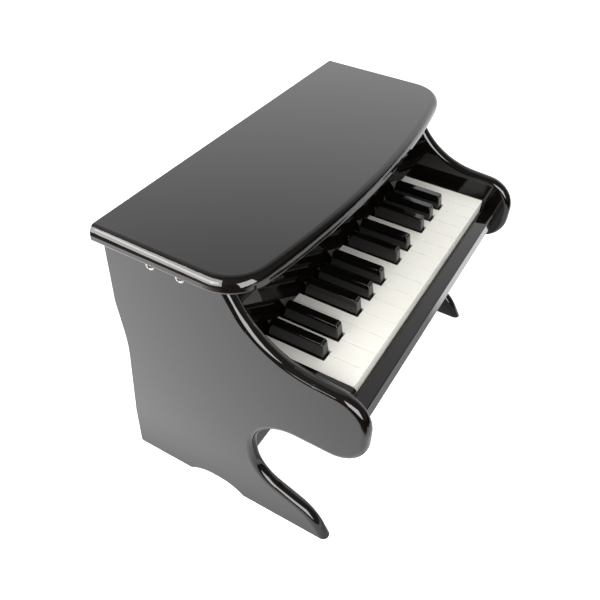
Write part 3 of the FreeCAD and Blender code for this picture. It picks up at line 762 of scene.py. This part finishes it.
def studio_world():
    """White to the camera; in reflections a bright backdrop behind the object and a dim room elsewhere."""
    world = bpy.data.worlds.new("studio")
    bpy.context.scene.world = world
    world.use_nodes = True
    tree = world.node_tree
    tree.nodes.clear()
    ray = add(tree, "ShaderNodeLightPath").outputs
    direction = add(tree, "ShaderNodeTexCoord").outputs["Generated"]
    height = add(tree, "ShaderNodeSeparateXYZ", {"Vector": direction}).outputs["Z"]
    level = add(tree, "ShaderNodeVectorMath", {0: direction, 1: (1, 1, 0)}, operation="MULTIPLY")
    heading = add(tree, "ShaderNodeVectorMath", {0: level.outputs["Vector"]}, operation="NORMALIZE")
    behind = add(tree, "ShaderNodeVectorMath", {
        0: heading.outputs["Vector"], 1: BACKDROP_HEADING}, operation="DOT_PRODUCT")
    wide = add(tree, "ShaderNodeMapRange", {
        "Value": behind.outputs["Value"], "From Min": 0.0, "From Max": BACKDROP_FULL},
        interpolation_type="SMOOTHSTEP")
    tall = add(tree, "ShaderNodeMapRange", {
        "Value": height, "From Min": FADE_START, "From Max": FADE_END, "To Min": 1.0, "To Max": FADE_SHARE},
        interpolation_type="SMOOTHSTEP")
    card = add(tree, "ShaderNodeMath", {
        0: tall.outputs["Result"], 1: wide.outputs["Result"]}, operation="MULTIPLY")
    glow = add(tree, "ShaderNodeMapRange", {
        "Value": card.outputs[0], "To Min": ROOM_GLOW, "To Max": BACKDROP_GLOW})
    overhead = add(tree, "ShaderNodeMapRange", {
        "Value": height, "To Min": AMBIENT_LEVEL, "To Max": AMBIENT_OVERHEAD})
    sharp = add(tree, "ShaderNodeMath", {
        0: ray["Is Glossy Ray"], 1: ray["Is Transmission Ray"]}, operation="MAXIMUM")
    seen = add(tree, "ShaderNodeBackground", {"Strength": 1.0, "Color": (1, 1, 1, 1)})
    mirrored = add(tree, "ShaderNodeBackground", {
        "Strength": glow.outputs["Result"], "Color": linear("#fefeff")})
    ambient = add(tree, "ShaderNodeBackground", {
        "Strength": overhead.outputs["Result"], "Color": (1, 1, 1, 1)})
    soft = add(tree, "ShaderNodeMixShader", {
        0: sharp.outputs[0], 1: ambient.outputs[0], 2: mirrored.outputs[0]})
    full = add(tree, "ShaderNodeMixShader", {
        0: ray["Is Camera Ray"], 1: soft.outputs[0], 2: seen.outputs[0]})
    add(tree, "ShaderNodeOutputWorld", {"Surface": full.outputs[0]})


def table_light(tree, along):
    """How bright each place of the table is in reflections, as painted light: brighter to the left and rear.
    """
    rear = add(tree, "ShaderNodeMapRange", {
        "Value": along["Y"], "From Min": TABLE_FRONT, "From Max": TABLE_REAR, "To Min": TABLE_FRONT_GLOW,
        "To Max": TABLE_REAR_GLOW})
    lit = add(tree, "ShaderNodeMapRange", {
        "Value": along["X"], "From Min": TABLE_RIGHT, "From Max": TABLE_LEFT, "To Min": TABLE_RIGHT_GLOW,
        "To Max": rear.outputs["Result"]}, interpolation_type="SMOOTHSTEP")
    return lit.outputs["Result"]


def table_reach(tree, along):
    """1 on the table and 0 past its left and front ends, with blurred edges."""
    left_end = add(tree, "ShaderNodeMapRange", {
        "Value": along["Y"], "From Min": LEFT_END_FRONT[Y_AXIS], "From Max": LEFT_END_MIDDLE[Y_AXIS],
        "To Min": LEFT_END_FRONT[X_AXIS], "To Max": LEFT_END_MIDDLE[X_AXIS]})
    front_end = add(tree, "ShaderNodeMapRange", {
        "Value": along["X"], "From Min": FRONT_END_LEFT[X_AXIS], "From Max": FRONT_END_RIGHT[X_AXIS],
        "To Min": FRONT_END_LEFT[Y_AXIS], "To Max": FRONT_END_RIGHT[Y_AXIS]})
    rightward = add(tree, "ShaderNodeMath", {0: along["X"], 1: 0.0}, operation="MAXIMUM")
    front_line = add(tree, "ShaderNodeMath", {
        0: rightward.outputs[0], 1: FRONT_END_SLOPE, 2: front_end.outputs["Result"]},
        operation="MULTIPLY_ADD")
    past_left = add(tree, "ShaderNodeMath", {
        0: along["X"], 1: left_end.outputs["Result"]}, operation="SUBTRACT")
    past_front = add(tree, "ShaderNodeMath", {
        0: along["Y"], 1: front_line.outputs[0]}, operation="SUBTRACT")
    left_edge = add(tree, "ShaderNodeMapRange", {
        "Value": past_left.outputs[0], "From Min": -LEFT_END_BLUR, "From Max": LEFT_END_BLUR},
        interpolation_type="SMOOTHSTEP")
    front_edge = add(tree, "ShaderNodeMapRange", {
        "Value": past_front.outputs[0], "From Min": -FRONT_END_BLUR, "From Max": FRONT_END_BLUR},
        interpolation_type="SMOOTHSTEP")
    both = add(tree, "ShaderNodeMath", {
        0: left_edge.outputs["Result"], 1: front_edge.outputs["Result"]}, operation="MULTIPLY")
    return both.outputs[0]


def open_floor(tree, place):
    """1 on the open floor, less under the piano: painted shade of the piano in the floor's glow."""
    under = add(tree, "ShaderNodeVectorMath", {0: place, 1: (0, UNDER_FORWARD, 0)})
    spread = add(tree, "ShaderNodeVectorMath", {
        0: under.outputs["Vector"], 1: (1 / UNDER_HALF_WIDTH, 1 / UNDER_HALF_DEPTH, 0)},
        operation="MULTIPLY")
    reach = add(tree, "ShaderNodeVectorMath", {0: spread.outputs["Vector"]}, operation="ABSOLUTE")
    sides = add(tree, "ShaderNodeSeparateXYZ", {"Vector": reach.outputs["Vector"]}).outputs
    outside = add(tree, "ShaderNodeMath", {0: sides["X"], 1: sides["Y"]}, operation="MAXIMUM")
    clear = add(tree, "ShaderNodeMapRange", {
        "Value": outside.outputs[0], "From Min": UNDER_INNER, "From Max": UNDER_OUTER, "To Min": UNDER_GLOW,
        "To Max": 1.0}, interpolation_type="SMOOTHSTEP")
    return clear.outputs["Result"]


def white_paper_sweep():
    """Matt white paper: white to the camera, it keeps the shadow, and in reflections it glows with painted
    light of a lit table top that ends in front and to the left, with painted shade under the piano."""
    material = bpy.data.materials.new("white_paper_sweep")
    material.use_nodes = True
    tree = material.node_tree
    tree.nodes.clear()
    ray = add(tree, "ShaderNodeLightPath").outputs
    place = add(tree, "ShaderNodeTexCoord").outputs["Object"]
    along = add(tree, "ShaderNodeSeparateXYZ", {"Vector": place}).outputs
    # The glow in reflections is painted light of a lit table top, times the painted shade under the piano
    table = add(tree, "ShaderNodeMath", {
        0: table_light(tree, along), 1: table_reach(tree, along)}, operation="MULTIPLY")
    glow = add(tree, "ShaderNodeMath", {
        0: table.outputs[0], 1: open_floor(tree, place)}, operation="MULTIPLY")
    white = add(tree, "ShaderNodeMath", {0: ray["Is Camera Ray"], 1: FLOOR_WHITE}, operation="MULTIPLY")
    paper = add(tree, "ShaderNodeBsdfDiffuse", {"Color": linear("#e6e6e6")})
    shown = add(tree, "ShaderNodeEmission", {"Strength": white.outputs[0]})
    seen = add(tree, "ShaderNodeAddShader", {0: paper.outputs[0], 1: shown.outputs[0]})
    mirrored = add(tree, "ShaderNodeEmission", {"Strength": glow.outputs[0], "Color": linear("#fcfdff")})
    full = add(tree, "ShaderNodeMixShader", {
        0: ray["Is Glossy Ray"], 1: seen.outputs[0], 2: mirrored.outputs[0]})
    add(tree, "ShaderNodeOutputMaterial", {"Surface": full.outputs[0]})
    return material


def studio_floor():
    """A wide sheet of white paper under the piano."""
    corners = [(x * FLOOR_HALF, y * FLOOR_HALF, 0) for x, y in ((-1, -1), (1, -1), (1, 1), (-1, 1))]
    mesh = bpy.data.meshes.new("floor")
    mesh.from_pydata(corners, [], [(0, 1, 2, 3)])
    mesh.materials.append(white_paper_sweep())
    new_object("floor", mesh)


class TOYPIANO_OT_case(bpy.types.Operator):
    """Lacquer the boards of the case and paint the back"""
    bl_idname = "toypiano.case"
    bl_label = "Case"

    def execute(self, context):
        colours = context.scene.toypiano_colours
        dress(LACQUERED, black_lacquer(colours.lacquer))
        dress(["back_panel"], painted_hardboard(colours.back_board))
        return {"FINISHED"}


class TOYPIANO_OT_inner_boards(bpy.types.Operator):
    """Give the bare boards inside the case their grain"""
    bl_idname = "toypiano.inner_boards"
    bl_label = "Inner Boards"

    def execute(self, context):
        colours = context.scene.toypiano_colours
        dress(WOOD_ACROSS, bare_wood("bare_softwood_across", colours.wood, X_AXIS))
        dress(WOOD_UPRIGHT, bare_wood("bare_softwood_upright", colours.wood, Z_AXIS))
        return {"FINISHED"}


class TOYPIANO_OT_white_keys(bpy.types.Operator):
    """Finish the white keys"""
    bl_idname = "toypiano.white_keys"
    bl_label = "White Keys"

    def execute(self, context):
        dress(WHITE_KEYS, white_key_plastic(context.scene.toypiano_colours.white_keys))
        return {"FINISHED"}


class TOYPIANO_OT_black_keys(bpy.types.Operator):
    """Finish the black keys"""
    bl_idname = "toypiano.black_keys"
    bl_label = "Black Keys"

    def execute(self, context):
        dress(BLACK_KEYS, black_key_plastic(context.scene.toypiano_colours.black_keys))
        return {"FINISHED"}


class TOYPIANO_OT_action(bpy.types.Operator):
    """Finish the key comb, the pivot rod and the cast block, and draw the tone rods"""
    bl_idname = "toypiano.action"
    bl_label = "Action"

    def execute(self, context):
        dress(["key_comb"], comb_plastic(context.scene.toypiano_colours.comb))
        dress(["key_pivot_rod"], drawn_steel("drawn_steel_pivot", X_AXIS))
        dress(["tone_block"], cast_iron())
        tone_rods(context.scene.toypiano_sizes.rod_chamfer, drawn_steel("drawn_steel_rods", Y_AXIS))
        return {"FINISHED"}


class TOYPIANO_OT_felts(bpy.types.Operator):
    """Lay the felt strips under the keys"""
    bl_idname = "toypiano.felts"
    bl_label = "Felts"

    def execute(self, context):
        sizes = context.scene.toypiano_sizes
        finish = wool_felt(context.scene.toypiano_colours.felt)
        for node in FELTS:
            felt_strip(node, sizes.felt_round, sizes.felt_nap, finish)
        return {"FINISHED"}


class TOYPIANO_OT_screws(bpy.types.Operator):
    """Set the screws of the sides, the lid, the back and the tone block"""
    bl_idname = "toypiano.screws"
    bl_label = "Screws"

    def execute(self, context):
        sizes = context.scene.toypiano_sizes
        finish = zinc_plate()
        screws("side_screws", X_AXIS, 0, sizes.side_head, finish, seed=3)
        screws("lid_screws", Z_AXIS, -1, sizes.lid_head, finish, seed=5)
        screws("back_panel_screws", Y_AXIS, 1, sizes.back_head, finish, seed=7)
        screws("tone_block_screws", Y_AXIS, -1, sizes.block_head, finish, seed=9)
        return {"FINISHED"}


class TOYPIANO_OT_stage(bpy.types.Operator):
    """Set up the camera, the lamps, the white sweep and the studio around them"""
    bl_idname = "toypiano.stage"
    bl_label = "Stage"

    def execute(self, context):
        context.scene.view_settings.view_transform = "Standard"
        aim_camera()
        studio_world()
        studio_floor()
        for lamp in LAMPS:
            softbox(**lamp)
        return {"FINISHED"}


STEPS = (TOYPIANO_OT_case, TOYPIANO_OT_inner_boards, TOYPIANO_OT_white_keys, TOYPIANO_OT_black_keys,
         TOYPIANO_OT_action, TOYPIANO_OT_felts, TOYPIANO_OT_screws, TOYPIANO_OT_stage)


class TOYPIANO_PT_steps(bpy.types.Panel):
    """Colours and sizes, and the steps that use them"""
    bl_idname = "TOYPIANO_PT_steps"
    bl_label = "Toy Piano"
    bl_space_type = "VIEW_3D"
    bl_region_type = "UI"
    bl_category = "Toy Piano"

    def draw(self, context):
        for group in (context.scene.toypiano_colours, context.scene.toypiano_sizes):
            for name in group.__annotations__:
                self.layout.prop(group, name)
        for step in STEPS:
            self.layout.operator(step.bl_idname)


CLASSES = (TOYPIANO_PG_colours, TOYPIANO_PG_sizes) + STEPS + (TOYPIANO_PT_steps,)


def register():
    """Make the settings, the steps and the panel known to Blender."""
    for item in CLASSES:
        bpy.utils.register_class(item)
    bpy.types.Scene.toypiano_colours = PointerProperty(type=TOYPIANO_PG_colours)
    bpy.types.Scene.toypiano_sizes = PointerProperty(type=TOYPIANO_PG_sizes)


def unregister():
    """Take them away again."""
    del bpy.types.Scene.toypiano_sizes
    del bpy.types.Scene.toypiano_colours
    for item in reversed(CLASSES):
        bpy.utils.unregister_class(item)


def main():
    """Run every step in order."""
    register()
    bpy.ops.toypiano.case()
    bpy.ops.toypiano.inner_boards()
    bpy.ops.toypiano.white_keys()
    bpy.ops.toypiano.black_keys()
    bpy.ops.toypiano.action()
    bpy.ops.toypiano.felts()
    bpy.ops.toypiano.screws()
    bpy.ops.toypiano.stage()


if __name__ == "__main__":
    main()
